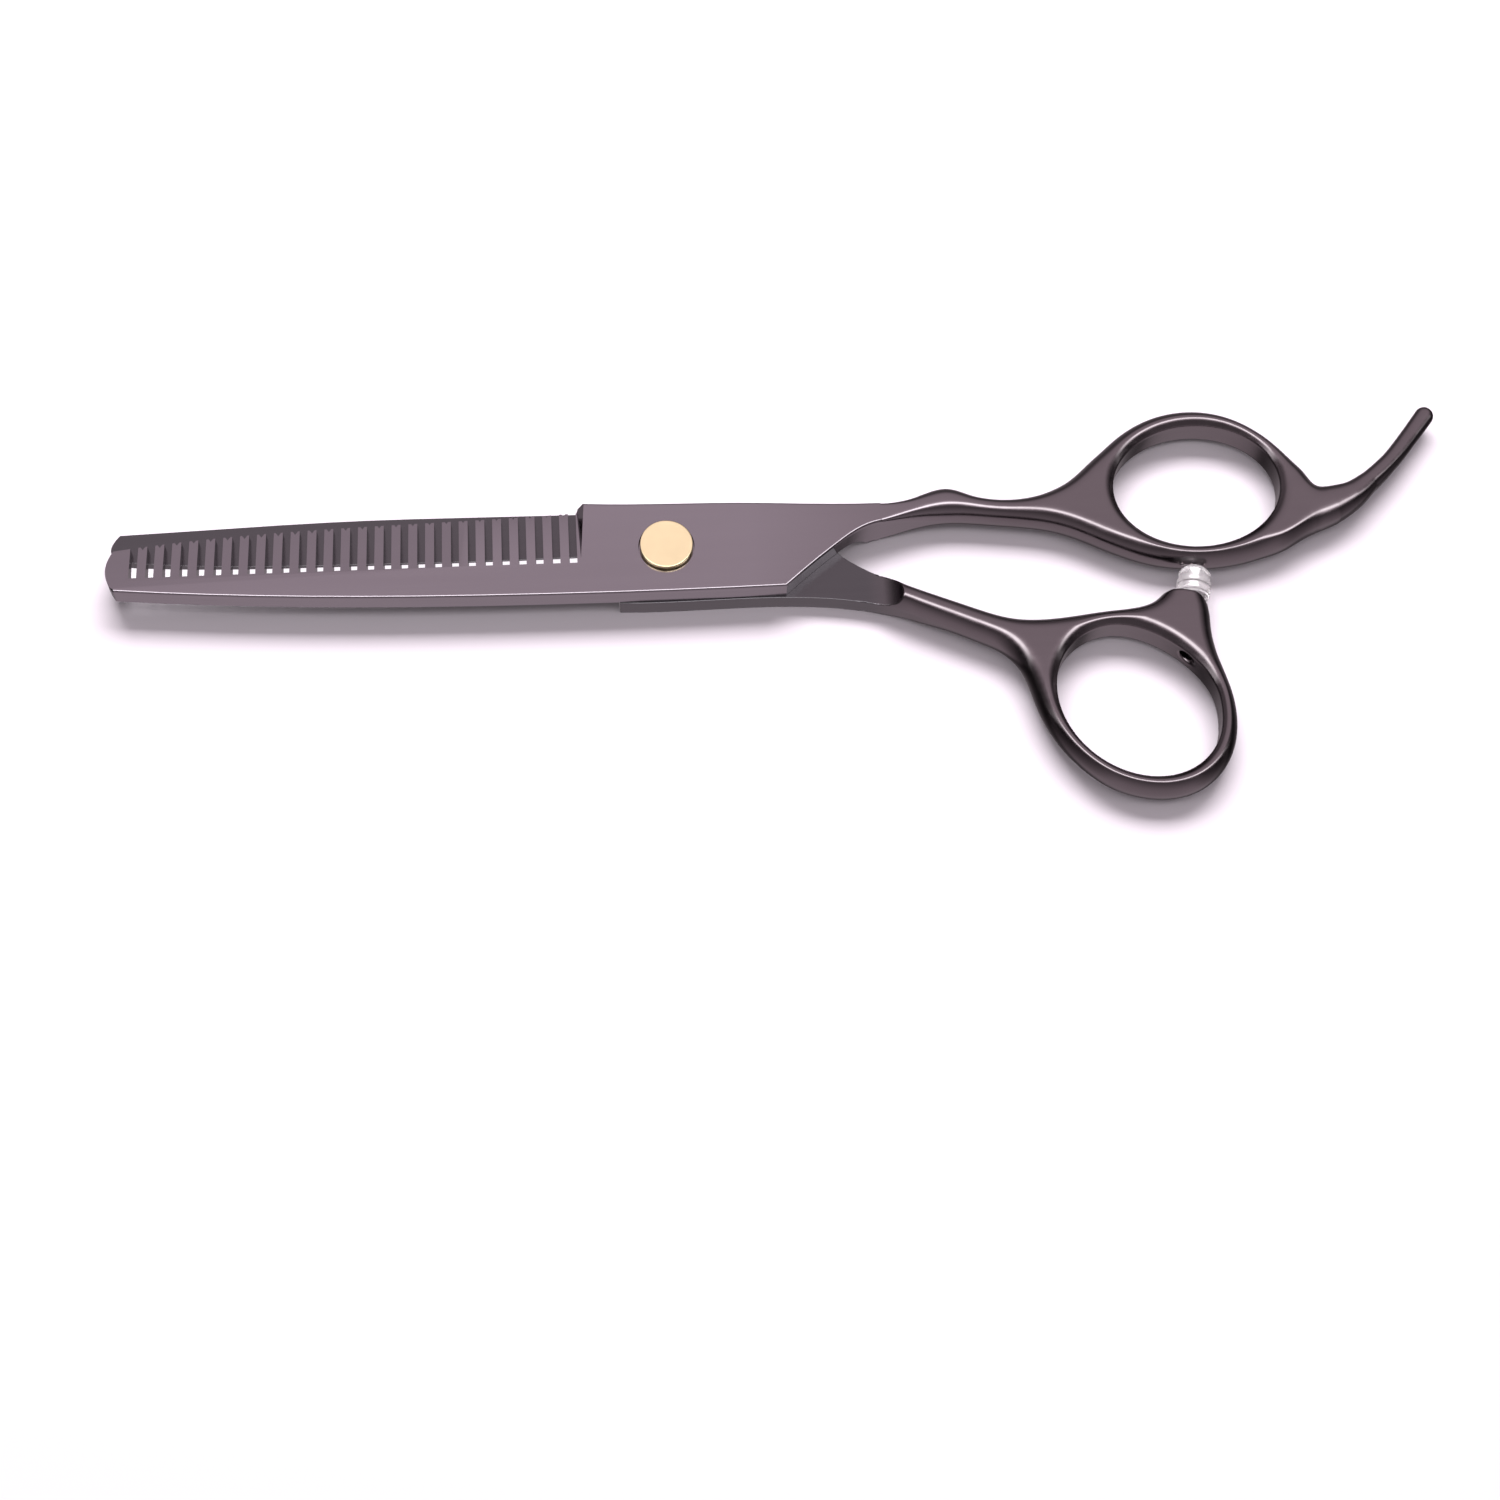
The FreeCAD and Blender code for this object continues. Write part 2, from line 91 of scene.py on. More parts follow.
# blades: which edges are rounded most, and how far the others are broken
SHARP_ANGLE = 28.0            # degrees
DIAGONAL_X = 15.0             # the diagonal end of the comb plate starts here
SPINE = (-70.0, -2.7, -0.02)  # the comb's spine lies below this line: x, y, slope
HEEL_X = -11.0                # the teeth end here
HEEL_Y = 5.0
COMB_BREAK = 0.06
PLAIN_BREAK = 0.08
CAP_BREAK = 0.08
BUMPER_BREAK = 0.12

# coat: colours of blade and handle, roughness, and where one turns into the other (metres)
BLADE_TINT = (0.236, 0.213, 0.234, 1.0)
# painted shade: a darker copy of the blade tint for the plain blade, standing in for the shade it lies in
# under the comb
PAINTED_SHADE_TINT = (0.092, 0.088, 0.094, 1.0)
HANDLE_TINT = (0.14, 0.122, 0.13, 1.0)
COAT_TURN = (-0.005, 0.03)
# where the painted shade on the plain blade turns into the handle tint (metres)
PAINTED_SHADE_TURN = (0.010, 0.0155)
COAT_ROUGH = 0.19

# other materials: colour, roughness, metallic
GOLD = ((0.86, 0.74, 0.45), 0.3, 1.0)
STEEL = ((0.5, 0.49, 0.5), 0.3, 1.0)
BRASS = ((0.72, 0.52, 0.25), 0.3, 1.0)
POLYMER = ((0.8, 0.79, 0.75), 0.5, 0.0)

# floor, in metres apart from the strip of painted light under the gaps
FLOOR_REACH = 1.6
FLOOR_Z = -0.00005
FLOOR_TINT = (0.19, 0.172, 0.188, 1.0)
FLOOR_GLOW = 0.06
# painted light: a glowing patch of floor under the gaps between the teeth, where the floor lies in the
# blades' shade
PAINTED_LIGHT_AREA = (-69.5, -10.5, -0.4, 3.9)   # brighter floor under the gaps: x from, x to, y from, y to
PAINTED_LIGHT_Z = -0.00004
PAINTED_LIGHT_TINT = (0.8, 0.8, 0.8, 1.0)
PAINTED_LIGHT_GLOW = 1.1

# light seen in the metal: degrees from straight up towards -Y, and brightness
SKY_BANDS = [
    (-180, 0.1), (-150, 0.3), (-120, 0.35), (-95, 0.15), (-80, 0.3), (-52, 0.9), (-34, 1.0),
    (-16, 1.05), (-3, 1.5), (6, 7.5), (15, 7.5), (25, 1.4), (36, 0.3), (48, 0.2), (70, 0.45),
    (100, 0.75), (125, 0.85), (150, 0.8), (162, 0.6), (174, 0.12), (180, 0.1),
]
SKY_TOP = 7.5                 # brightest band
SKY_FADE = (0.55, 0.95)       # the light fades between these sideways directions
SKY_SIDE = 0.12               # what is left of it at the sides

KEY_SPOT = Vector((0.05, 0.55, 0.75))   # metres
KEY_SIZE = (0.9, 0.4)
KEY_WATTS = 60.0

CAMERA_SPOT = (-7.43, -177.79, 339.60)
CAMERA_LIFT = 66.0            # degrees above level
CAMERA_TURN = 3.6             # degrees about Z
CAMERA_ROLL = 1.2             # degrees about Y
CAMERA_LENS = 70.56
CAMERA_SENSOR = 36.0

PIVOT = Vector(frame["joints"][0]["pos_m"])
PX = PIVOT.x / MM
PY = PIVOT.y / MM


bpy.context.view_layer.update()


# ---- outlines read from the CAD nodes ------------------------------------------------
def slice_loops(name, z_mm):
    """Closed loops of a node at one height, as lists of (x, y, on a vertical edge)."""
    mesh = frame["nodes"][name].data
    mesh.calc_loop_triangles()
    co = np.array([v.co for v in mesh.vertices], float) / MM
    keys = [tuple(np.round(p, 3)) for p in co]
    links = {}
    points = {}
    for tri in mesh.loop_triangles:
        crossed = []
        for a, b in ((0, 1), (1, 2), (2, 0)):
            i, j = tri.vertices[a], tri.vertices[b]
            if (co[i][2] - z_mm) * (co[j][2] - z_mm) < 0:
                key = tuple(sorted((keys[i], keys[j])))
                share = (z_mm - co[i][2]) / (co[j][2] - co[i][2])
                spot = co[i] + share * (co[j] - co[i])
                upright = math.hypot(co[i][0] - co[j][0], co[i][1] - co[j][1]) < 0.002
                points[key] = (spot[0] - PX, spot[1] - PY, upright)
                crossed.append(key)
        if len(crossed) == 2:
            links.setdefault(crossed[0], []).append(crossed[1])
            links.setdefault(crossed[1], []).append(crossed[0])
    loops = []
    left = set(links)
    while left:
        here = min(left)
        loop = []
        while here is not None:
            left.discard(here)
            loop.append(points[here])
            following = [k for k in links[here] if k in left]
            here = following[0] if following else None
        loops.append(loop)
    return sorted(loops, key=len, reverse=True)


def arc_length(points):
    steps = np.linalg.norm(np.diff(points, axis=0), axis=1)
    return np.concatenate([[0.0], np.cumsum(steps)])


def catmull(points, spacing):
    """Points at an even spacing on the smooth curve through the given ones."""
    padded = np.vstack([2 * points[0] - points[1], points, 2 * points[-1] - points[-2]])
    along = arc_length(padded)
    total = along[-2] - along[1]
    wanted = along[1] + np.linspace(0.0, total, max(8, int(total / spacing)))
    span = np.clip(np.searchsorted(along, wanted, side="right") - 1, 1, len(padded) - 3)
    t0, t1, t2, t3 = (along[span + k][:, None] for k in (-1, 0, 1, 2))
    p0, p1, p2, p3 = (padded[span + k] for k in (-1, 0, 1, 2))
    t = wanted[:, None]
    a1 = (t1 - t) / (t1 - t0) * p0 + (t - t0) / (t1 - t0) * p1
    a2 = (t2 - t) / (t2 - t1) * p1 + (t - t1) / (t2 - t1) * p2
    a3 = (t3 - t) / (t3 - t2) * p2 + (t - t2) / (t3 - t2) * p3
    b1 = (t2 - t) / (t2 - t0) * a1 + (t - t0) / (t2 - t0) * a2
    b2 = (t3 - t) / (t3 - t1) * a2 + (t - t1) / (t3 - t1) * a3
    return (t2 - t) / (t2 - t1) * b1 + (t - t1) / (t2 - t1) * b2


def smooth_line(points, sigma, closed):
    """Evens out the small corners left by the CAD mesh; open ends stay where they are."""
    reach = int(3 * sigma)
    window = np.exp(-0.5 * (np.arange(-reach, reach + 1) / sigma) ** 2)
    window /= window.sum()
    if closed:
        padded = np.vstack([points[-reach:], points, points[:reach]])
    else:
        start = 2 * points[0] - points[reach:0:-1]
        end = 2 * points[-1] - points[-2:-reach - 2:-1]
        padded = np.vstack([start, points, end])
    return np.stack([np.convolve(padded[:, k], window, mode="valid") for k in (0, 1)], 1)


def tidy(points, closed=False):
    """A section of an outline, evenly spaced and smooth."""
    kept = [points[0]]
    for p in points[1:]:
        if math.hypot(p[0] - kept[-1][0], p[1] - kept[-1][1]) > MIN_STEP:
            kept.append(p)
    kept = np.array(kept, float)
    if closed:
        kept = np.vstack([kept, kept[:1]])
    even = catmull(kept, LINE_SPACING)
    if closed:
        even = even[:-1]
    return smooth_line(even, LINE_SMOOTH, closed)


def open_outline(loop, weld_x):
    """Turns a loop so that it starts and ends at the weld line, without the line's own points."""
    points = [(p[0], p[1]) for p in loop if p[2] or p[0] < weld_x + 0.01]
    free = [p[0] > weld_x + 0.02 for p in points]
    start = next(i for i in range(len(points)) if free[i] and not free[i - 1])
    turned = points[start:] + points[:start]
    turned = [p for p in turned if p[0] > weld_x + 0.02]
    corners = [p for p in points if abs(p[0] - weld_x) < 0.01]
    first = min(corners, key=lambda p: math.dist(p, turned[0]))
    last = min(corners, key=lambda p: math.dist(p, turned[-1]))
    return [first] + turned + [last]


def extend_end(points, length):
    """The same line with a straight piece added past its last point."""
    direction = points[-1] - points[-5]
    direction = direction / np.linalg.norm(direction)
    return np.vstack([points, points[-1] + direction * length])


def hole_line(loop):
    return tidy([(p[0], p[1]) for p in loop if p[2]], closed=True)


# ---- flat fields: distances on a grid ------------------------------------------------
class Fields:
    """Values on an even grid of (x, y), read back with a smooth interpolation."""

    def __init__(self, x0, x1, y0, y1):
        self.x = np.arange(x0, x1 + GRID, GRID)
        self.y = np.arange(y0, y1 + GRID, GRID)
        self.names = {}

    def nodes(self):
        gx, gy = np.meshgrid(self.x, self.y, indexing="ij")
        return np.stack([gx.ravel(), gy.ravel()], 1)

    def add(self, name, values):
        self.names[name] = values.reshape(len(self.x), len(self.y))

    def read(self, x, y):
        """Bicubic reading of every field at the points."""
        u = np.clip((x - self.x[0]) / GRID, 1.0, len(self.x) - 2.001)
        v = np.clip((y - self.y[0]) / GRID, 1.0, len(self.y) - 2.001)
        i, j = u.astype(int), v.astype(int)
        i = np.minimum(i, len(self.x) - 3)
        j = np.minimum(j, len(self.y) - 3)
        wu, wv = cubic_weights(u - i), cubic_weights(v - j)
        found = {}
        for name, grid in self.names.items():
            total = 0.0
            for a in range(4):
                for b in range(4):
                    total = total + wu[a] * wv[b] * grid[i + a - 1, j + b - 1]
            found[name] = total
        return found


def cubic_weights(t):
    return (
        -0.5 * t + t * t - 0.5 * t ** 3,
        1.0 - 2.5 * t * t + 1.5 * t ** 3,
        0.5 * t + 2.0 * t * t - 1.5 * t ** 3,
        -0.5 * t * t + 0.5 * t ** 3,
    )


def nearest_on_line(nodes, line, closed):
    """Distance to a polyline, and how far along it the nearest point is (0 to 1)."""
    ends = np.roll(line, -1, axis=0) if closed else line[1:]
    starts = line if closed else line[:-1]
    best = np.full(len(nodes), 1e9)
    along = np.zeros(len(nodes))
    count = len(starts)
    for k in range(count):
        a, ab = starts[k], ends[k] - starts[k]
        share = np.clip(((nodes - a) @ ab) / max(ab @ ab, 1e-12), 0.0, 1.0)
        gap = nodes - a - share[:, None] * ab
        distance = np.hypot(gap[:, 0], gap[:, 1])
        nearer = distance < best
        best = np.where(nearer, distance, best)
        along = np.where(nearer, (k + share) / count, along)
    return best, along


def inside(nodes, line):
    """True for the nodes inside a closed polyline."""
    result = np.zeros(len(nodes), bool)
    following = np.roll(line, -1, axis=0)
    for a, b in zip(line, following):
        if a[1] == b[1]:
            continue
        spans = (nodes[:, 1] < a[1]) != (nodes[:, 1] < b[1])
        cut_x = a[0] + (nodes[:, 1] - a[1]) / (b[1] - a[1]) * (b[0] - a[0])
        result ^= spans & (nodes[:, 0] < cut_x)
    return result


def signed_distance(nodes, line):
    """Distance to a closed line, positive inside it."""
    distance, _ = nearest_on_line(nodes, line, True)
    return np.where(inside(nodes, line), distance, -distance)


def blurred(values, shape, sigma_mm):
    """Gaussian blur of a field, so that its ridges become rounded crests."""
    sigma = sigma_mm / GRID
    reach = int(3 * sigma) + 1
    window = np.exp(-0.5 * (np.arange(-reach, reach + 1) / sigma) ** 2)
    window /= window.sum()
    grid = values.reshape(shape)
    for axis in (0, 1):
        padded = np.pad(grid, [(reach, reach) if k == axis else (0, 0) for k in (0, 1)], mode="edge")
        grid = np.apply_along_axis(lambda row: np.convolve(row, window, mode="valid"), axis, padded)
    return grid.ravel()


def step(low, high, value):
    share = np.clip((value - low) / (high - low), 0.0, 1.0)
    return share * share * (3.0 - 2.0 * share)


def smooth_max(a, b, size):
    return np.maximum(a, b) + np.maximum(size - np.abs(a - b), 0.0) ** 2 / (4.0 * size)


def smooth_min(a, b, size):
    return -smooth_max(-a, -b, size)


# ---- surfaces --------------------------------------------------------------------------
def net_vertices(values, cells):
    """One vertex in every cell that the zero surface crosses, and the cells' vertex numbers."""
    total = np.zeros(cells + (3,))
    count = np.zeros(cells)
    for axis in range(3):
        for a in (0, 1):
            for b in (0, 1):
                start = [0, 0, 0]
                start[(axis + 1) % 3] = a
                start[(axis + 2) % 3] = b
                end = list(start)
                end[axis] = 1
                va = values[tuple(slice(s, s + n) for s, n in zip(start, cells))]
                vb = values[tuple(slice(e, e + n) for e, n in zip(end, cells))]
                crossing = (va < 0) != (vb < 0)
                share = np.where(crossing, va / np.where(crossing, va - vb, 1.0), 0.0)
                for k in range(3):
                    place = share if k == axis else float(start[k])
                    total[..., k] += np.where(crossing, place, 0.0)
                count += crossing
    active = count > 0
    index = np.full(cells, -1)
    index[active] = np.arange(active.sum())
    return np.argwhere(active) + total[active] / count[active][:, None], index


def net_faces(values, cells, index):
    """A quad across every grid edge that the zero surface crosses."""
    faces = []
    for axis in range(3):
        u, w = (axis + 1) % 3, (axis + 2) % 3
        low, high = [slice(None)] * 3, [slice(None)] * 3
        low[axis], high[axis] = slice(0, -1), slice(1, None)
        a, b = values[tuple(low)] < 0, values[tuple(high)] < 0
        crossing = a != b
        spots = np.argwhere(crossing)
        inner = (spots[:, u] > 0) & (spots[:, w] > 0)
        inner &= (spots[:, u] < cells[u]) & (spots[:, w] < cells[w])
        spots = spots[inner]
        outward = a[tuple(spots.T)]
        quad = []
        for du, dw in ((-1, -1), (0, -1), (0, 0), (-1, 0)):
            cell = spots.copy()
            cell[:, u] += du
            cell[:, w] += dw
            quad.append(index[tuple(cell.T)])
        quad = np.stack(quad, 1)
        quad = np.where(outward[:, None], quad, quad[:, ::-1])
        faces.append(quad)
    return np.vstack(faces)


def surface_net(values):
    """Quads on the zero surface of a grid of values; negative is inside."""
    cells = tuple(n - 1 for n in values.shape)
    vertices, index = net_vertices(values, cells)
    return vertices, net_faces(values, cells, index)


def gradient(shape, points):
    """Slope of a shape function at the points."""
    tiny = 0.03
    slopes = []
    for k in range(3):
        offset = np.zeros(3)
        offset[k] = tiny
        slopes.append((shape(points + offset) - shape(points - offset)) / (2 * tiny))
    return np.stack(slopes, 1)


def settle(shape, points, rounds=4):
    """Moves points onto the zero surface."""
    for _ in range(rounds):
        slope = gradient(shape, points)
        size = np.maximum((slope ** 2).sum(1), 0.05)
        move = -shape(points)[:, None] * slope / size[:, None]
        points = points + np.clip(move, -0.2, 0.2)
    return points


def draw_surface(name, shape, fields, weld_x):
    """Mesh object of a shape function, cut flat at the weld line."""
    z = np.arange(-2 * GRID, 2 * HALF + 3 * GRID, GRID)
    nodes = fields.nodes()
    values = np.stack([shape(np.column_stack([nodes, np.full(len(nodes), h)])) for h in z], 1)
    values = values.reshape(len(fields.x), len(fields.y), len(z))
    vertices, faces = surface_net(values)
    points = np.array([fields.x[0], fields.y[0], z[0]]) + vertices * GRID
    points = settle(shape, points)
    mesh = bpy.data.meshes.new(name)
    placed = (points + np.array([PX, PY, 0.0])) * MM
    mesh.from_pydata(placed.tolist(), [], faces.tolist())
    bm = bmesh.new()
    bm.from_mesh(mesh)
    cut = bmesh.ops.bisect_plane(
        bm, geom=bm.verts[:] + bm.edges[:] + bm.faces[:], dist=1e-7,
        plane_co=((weld_x + PX) * MM, 0, 0), plane_no=(1, 0, 0), clear_inner=True)
    rim = [e for e in cut["geom_cut"] if isinstance(e, bmesh.types.BMEdge)]
    bmesh.ops.holes_fill(bm, edges=rim, sides=0)
    bm.to_mesh(mesh)
    bm.free()
    mesh.update()
    give_normals(mesh, shape)
    obj = bpy.data.objects.new(name, mesh)
    bpy.context.scene.collection.objects.link(obj)
    return obj


def give_normals(mesh, shape):
    """Exact normals from the shape function, so reflections run without ripples."""
    mesh.polygons.foreach_set("use_smooth", np.ones(len(mesh.polygons), bool))
    co = np.array([v.co for v in mesh.vertices], float) / MM - np.array([PX, PY, 0.0])
    slope = gradient(shape, co)
    slope /= np.maximum(np.linalg.norm(slope, axis=1), 1e-9)[:, None]
    mesh.normals_split_custom_set_from_vertices(slope.tolist())


def rounded_body(distance, height, width, depth):
    """Outer form of a handle: full thickness in the middle, rounded to the outline."""
    share = np.clip(1.0 - distance / width, 0.0, None)
    lift = np.clip(1.0 - (HALF - height) / depth, 0.0, None)
    return depth * (np.hypot(share, lift) - 1.0)


def grow(start, end, x, full):
    """Size of the rounding: small at the weld line, full further along."""
    return ROUND_EDGE + (full - ROUND_EDGE) * step(start, end, x)


def ring_hole(distance, height):
    """Vertical wall with a finger bevel at both ends."""
    slope = BEVEL_DEPTH / BEVEL_WIDTH
    face = (height - (HALF - BEVEL_DEPTH) - slope * distance) / math.hypot(1.0, slope)
    return smooth_max(face, -distance, HOLE_BLEND)


def softened(distance, shape):
    """The same distance near the outline, with rounded crests further in."""
    blend = step(0.5, 1.3, distance)
    return distance * (1.0 - blend) + blurred(distance, shape, 0.5) * blend


def outline_fields(fields, outline, hole):
    nodes = fields.nodes()
    size = (len(fields.x), len(fields.y))
    fields.add("edge", softened(signed_distance(nodes, outline), size))
    fields.add("hole", -signed_distance(nodes, hole))


def finger_shape():
    loops = slice_loops("finger_handle", SLICE_Z)
    line = tidy(open_outline(loops[0], FINGER_WELD_X))
    line = extend_end(line, WELD_END)
    line = extend_end(line[::-1], WELD_END)
    hole = hole_line(loops[1])
    fields = Fields(*FINGER_AREA)
    outline_fields(fields, line, hole)
    stations = np.array(TANG)
    centre = catmull(stations[:, :2], LINE_SPACING)
    gap, along = nearest_on_line(fields.nodes(), centre, False)
    knots = arc_length(stations[:, :2])
    knots = knots / knots[-1]
    fields.add("tang_gap", gap)
    fields.add("tang_wide", np.interp(along, knots, stations[:, 2]))
    fields.add("tang_high", np.interp(along, knots, stations[:, 3]))
    turn = math.radians(NUB[2])

    def shape(points):
        x, y = points[:, 0], points[:, 1]
        height = np.abs(points[:, 2] - HALF)
        f = fields.read(x, y)
        width = grow(RAMP_X, NECK_END_X, x, ROUND_WIDTH)
        depth = grow(RAMP_X, NECK_END_X, x, HALF)
        body = rounded_body(f["edge"], height, width, depth)
        past = (x - NUB[0]) * math.cos(turn) + (y - NUB[1]) * math.sin(turn)
        body = smooth_max(body, past, NUB_BLEND)
        wide, high = f["tang_wide"], f["tang_high"]
        across = np.clip(f["tang_gap"], 0.0, None) / wide
        lift = height / high
        norm = (across ** TANG_POWER + lift ** TANG_POWER) ** (1.0 / TANG_POWER)
        rod = (norm - 1.0) * np.minimum(wide, high)
        solid = smooth_max(smooth_min(body, rod, WEB_BLEND), height - HALF, TOP_BLEND)
        return smooth_max(solid, ring_hole(f["hole"], height), CREST)

    return shape, fields


def above_line(x, y, line):
    """True where y is above the line given by a point and a slope."""
    return y > line[1] + line[2] * (x - line[0])


def thumb_outline():
    """Open outline of the thumb half, from the ramp round the ring and back to the ramp."""
    handle = open_outline(slice_loops("thumb_handle", SLICE_Z)[0], THUMB_WELD_X)
    if handle[0][1] < handle[-1][1]:
        handle = handle[::-1]
    blade = max(slice_loops("plain_blade", SLICE_Z), key=lambda loop: max(p[0] for p in loop))
    near = [(p[0], p[1]) for p in blade if THUMB_START_X - 2.0 < p[0] < THUMB_WELD_X - 0.02]
    far_side = sorted(p for p in near if above_line(p[0], p[1], SIDES))
    near_side = sorted((p for p in near if not above_line(p[0], p[1], SIDES)), reverse=True)
    return far_side + handle + near_side


def thumb_shape():
    tilt = math.radians(SEAT_TILT)
    axis = np.array([math.sin(tilt), math.cos(tilt)])
    seat = np.array(SEAT[:2])
    line = np.array(thumb_outline(), float)
    corners = np.flatnonzero(np.abs((line - seat) @ axis) < 0.02)
    one = tidy(line[:corners[0] + 1].tolist())
    two = tidy(line[corners[-1]:].tolist())
    line = np.vstack([one, one[-1] + axis * SEAT_END, two[0] + axis * SEAT_END, two])
    hole = hole_line(slice_loops("thumb_handle", SLICE_Z)[1])
    fields = Fields(*THUMB_AREA)
    outline_fields(fields, line, hole)

    def shape(points):
        x, y, z = points[:, 0], points[:, 1], points[:, 2]
        height = np.abs(z - HALF)
        f = fields.read(x, y)
        upper = z > HALF
        neck = step(*THUMB_NECK, x)
        above = ROUND_NECK + (ROUND_WIDTH - ROUND_NECK) * neck
        width = np.where(upper, above, grow(RAMP_X, NECK_END_X, x, ROUND_WIDTH))
        depth = np.where(upper, HALF, grow(RAMP_X, NECK_END_X, x, HALF))
        body = rounded_body(f["edge"], height, width, depth)
        round_air = RAMP_R - np.hypot(x - RAMP_X, z - PLATE - RAMP_R)
        air = np.where(x > RAMP_X, round_air, z - PLATE)
        body = smooth_max(body, air, RAMP_BLEND)
        past = (x - SEAT[0]) * axis[0] + (y - SEAT[1]) * axis[1]
        body = smooth_max(body, past, SEAT_BLEND)
        across = (x - SEAT[0]) * axis[1] - (y - SEAT[1]) * axis[0]
        stem = STEM_R - np.hypot(across, z - SEAT[2])
        body = np.maximum(body, np.where(past > -STEM_REACH, stem, -1.0))
        return smooth_max(body, ring_hole(f["hole"], height), CREST)

    return shape, fields


# ---- bevelled copies of the flat-faced nodes ---------------------------------------------
def copy_of(node):
    """Cleaned copy of a CAD node's mesh, ready for bevels."""
    bm = bmesh.new()
    bm.from_mesh(frame["nodes"][node].data)
    bmesh.ops.remove_doubles(bm, verts=bm.verts, dist=0.002 * MM)
    bmesh.ops.dissolve_limit(
        bm, angle_limit=math.radians(0.4), use_dissolve_boundaries=False,
        verts=bm.verts, edges=bm.edges, delimit=set())
    return bm


def mid(edge):
    """Middle of an edge in millimetres in the pivot frame."""
    spot = (edge.verts[0].co + edge.verts[1].co) / 2
    return spot.x / MM - PX, spot.y / MM - PY, spot.z / MM


def sharp(edge):
    return len(edge.link_faces) == 2 and edge.calc_face_angle(0.0) > math.radians(SHARP_ANGLE)


def bevel(bm, edges, size, segments):
    bmesh.ops.bevel(
        bm, geom=edges, offset=size * MM, offset_type="OFFSET", segments=segments,
        profile=0.5, affect="EDGES", clamp_overlap=True)


def finish_copy(bm, name):
    """Mesh object of the bevelled copy; its flat faces keep flat shading beside the bevels."""
    bmesh.ops.recalc_face_normals(bm, faces=bm.faces)
    mesh = bpy.data.meshes.new(name)
    bm.to_mesh(mesh)
    bm.free()
    mesh.polygons.foreach_set("use_smooth", np.ones(len(mesh.polygons), bool))
    mesh.set_sharp_from_angle(angle=math.radians(32.0))
    obj = bpy.data.objects.new(name, mesh)
    bpy.context.scene.collection.objects.link(obj)
    even = obj.modifiers.new("flat_faces_stay_flat", "WEIGHTED_NORMAL")
    even.keep_sharp = True
    even.weight = 100
    return obj


def make_comb():
    bm = copy_of("comb_blade")

    def outline(edge):
        """Top and bottom edges of the outline that bear no teeth."""
        x, y, z = mid(edge)
        level = all(abs(v.co.z / MM - z) < 0.002 for v in edge.verts)
        flat = z > 2 * HALF - 0.01 or z < 0.01
        spine = x < DIAGONAL_X and not above_line(x, y, SPINE)
        heel = y > HEEL_Y and x > HEEL_X
        return level and flat and (spine or x > DIAGONAL_X or heel)

    def weld(edge):
        return mid(edge)[0] > FINGER_WELD_X - 0.01

    open_edges = [e for e in bm.edges if sharp(e) and not weld(e)]
    bevel(bm, [e for e in open_edges if outline(e)], ROUND_EDGE, 4)
    rest = [e for e in bm.edges if sharp(e) and not weld(e)]
    bevel(bm, rest, COMB_BREAK, 1)
    return finish_copy(bm, "comb_blade_ground")


def make_plain():
    bm = copy_of("plain_blade")
    cut = bmesh.ops.bisect_plane(
        bm, geom=bm.verts[:] + bm.edges[:] + bm.faces[:], dist=1e-7,
        plane_co=((THUMB_START_X + PX) * MM, 0, 0), plane_no=(1, 0, 0), clear_outer=True)
    rim = [e for e in cut["geom_cut"] if isinstance(e, bmesh.types.BMEdge)]
    bmesh.ops.holes_fill(bm, edges=rim, sides=0)
    rest = [e for e in bm.edges if sharp(e) and mid(e)[0] < THUMB_START_X - 0.01]
    bevel(bm, rest, PLAIN_BREAK, 2)
    return finish_copy(bm, "plain_blade_ground")


def make_small(node, name, size):
    bm = copy_of(node)
    bevel(bm, [e for e in bm.edges if sharp(e)], size, 2)
    return finish_copy(bm, name)


# ---- materials -----------------------------------------------------------------------------
def new_material(name):
    material = bpy.data.materials.new(name)
    material.use_nodes = True
    tree = material.node_tree
    return material, tree, tree.nodes["Principled BSDF"]


def stretched_noise(tree, scale, stretch, detail):
    """Noise in object space, drawn out where the stretch is small."""
    where = tree.nodes.new("ShaderNodeTexCoord")
    mapping = tree.nodes.new("ShaderNodeMapping")
    mapping.inputs["Scale"].default_value = stretch
    noise = tree.nodes.new("ShaderNodeTexNoise")
    noise.inputs["Scale"].default_value = scale
    noise.inputs["Detail"].default_value = detail
    tree.links.new(where.outputs["Object"], mapping.inputs["Vector"])
    tree.links.new(mapping.outputs["Vector"], noise.inputs["Vector"])
    return noise


def ramp(tree, source, low, high, low_at=0.3, high_at=0.7):
    node = tree.nodes.new("ShaderNodeValToRGB")
    node.color_ramp.elements[0].position = low_at
    node.color_ramp.elements[0].color = low
    node.color_ramp.elements[1].position = high_at
    node.color_ramp.elements[1].color = high
    tree.links.new(source, node.inputs["Fac"])
    return node


def grey(value):
    return (value, value, value, 1.0)


